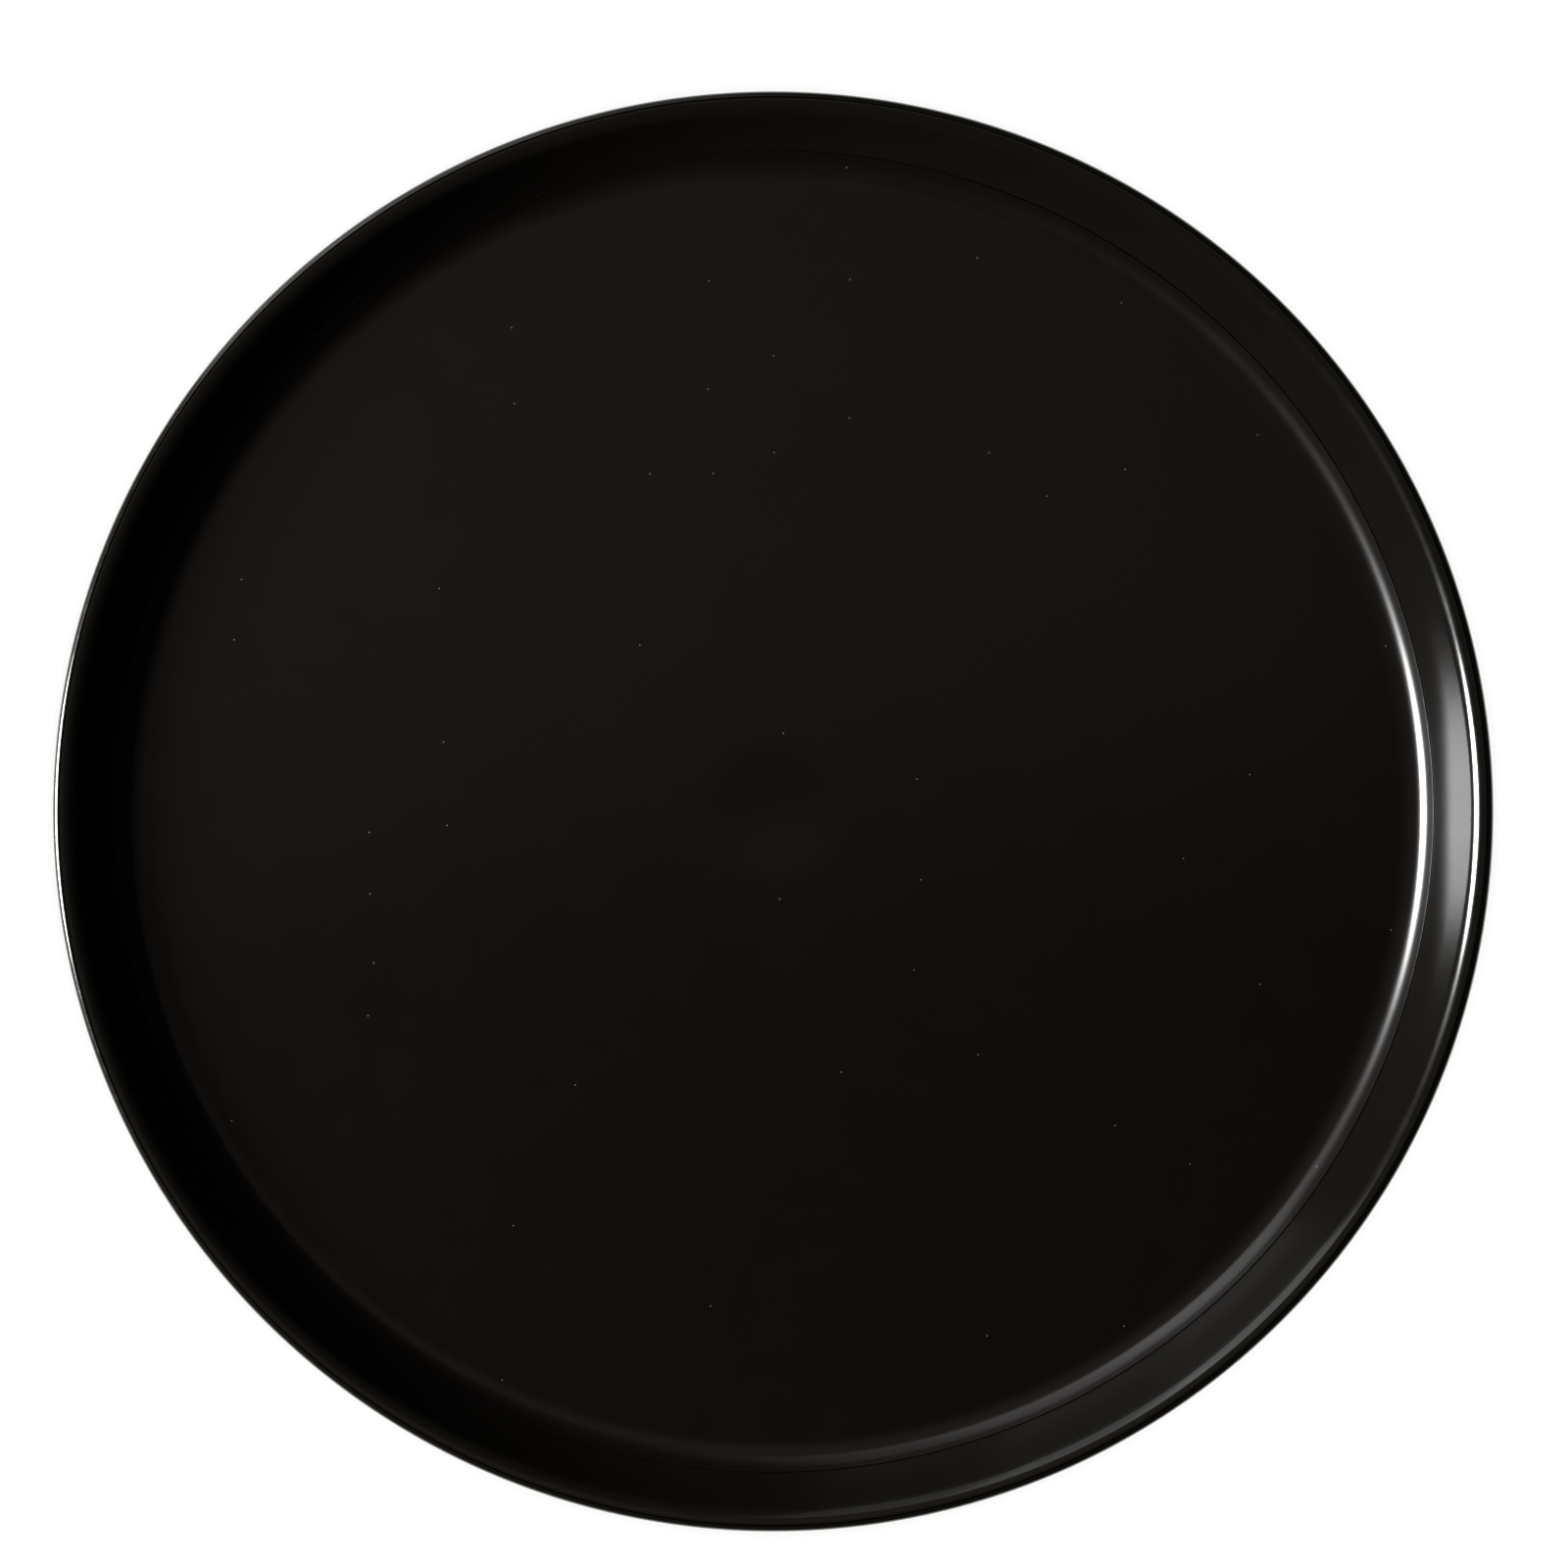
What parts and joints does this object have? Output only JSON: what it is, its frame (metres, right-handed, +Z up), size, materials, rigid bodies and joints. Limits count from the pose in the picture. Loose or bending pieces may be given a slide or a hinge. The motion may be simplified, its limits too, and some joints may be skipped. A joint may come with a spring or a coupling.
{
  "type": "serving tray",
  "caption": "Round low-walled catering tray: moulded dish with a leaning wall and rounded rim, bonded non-slip liner, hidden rim wire and rubber pads under its foot ring.",
  "frame": {"origin": "centre of the tray on the surface that its pads stand on", "axes": "+Z up, out of the open side of the tray; +X from the centre through the first foot pad"},
  "size_m": [0.356, 0.356, 0.024],
  "materials": {
    "moulded_body": "satin-gloss, warm brown-black",
    "liner": "smooth satin, warm brown-black",
    "wire": "drawn and zinc plated, satin",
    "pad_rubber": "matt dark grey"
  },
  "bodies": {
    "root": {"tray_body": "moulded_body", "nonslip_liner": "liner", "rim_wire": "wire", "foot_pad_1": "pad_rubber", "foot_pad_2": "pad_rubber", "foot_pad_3": "pad_rubber", "foot_pad_4": "pad_rubber", "foot_pad_5": "pad_rubber", "foot_pad_6": "pad_rubber"}
  },
  "joints": []
}
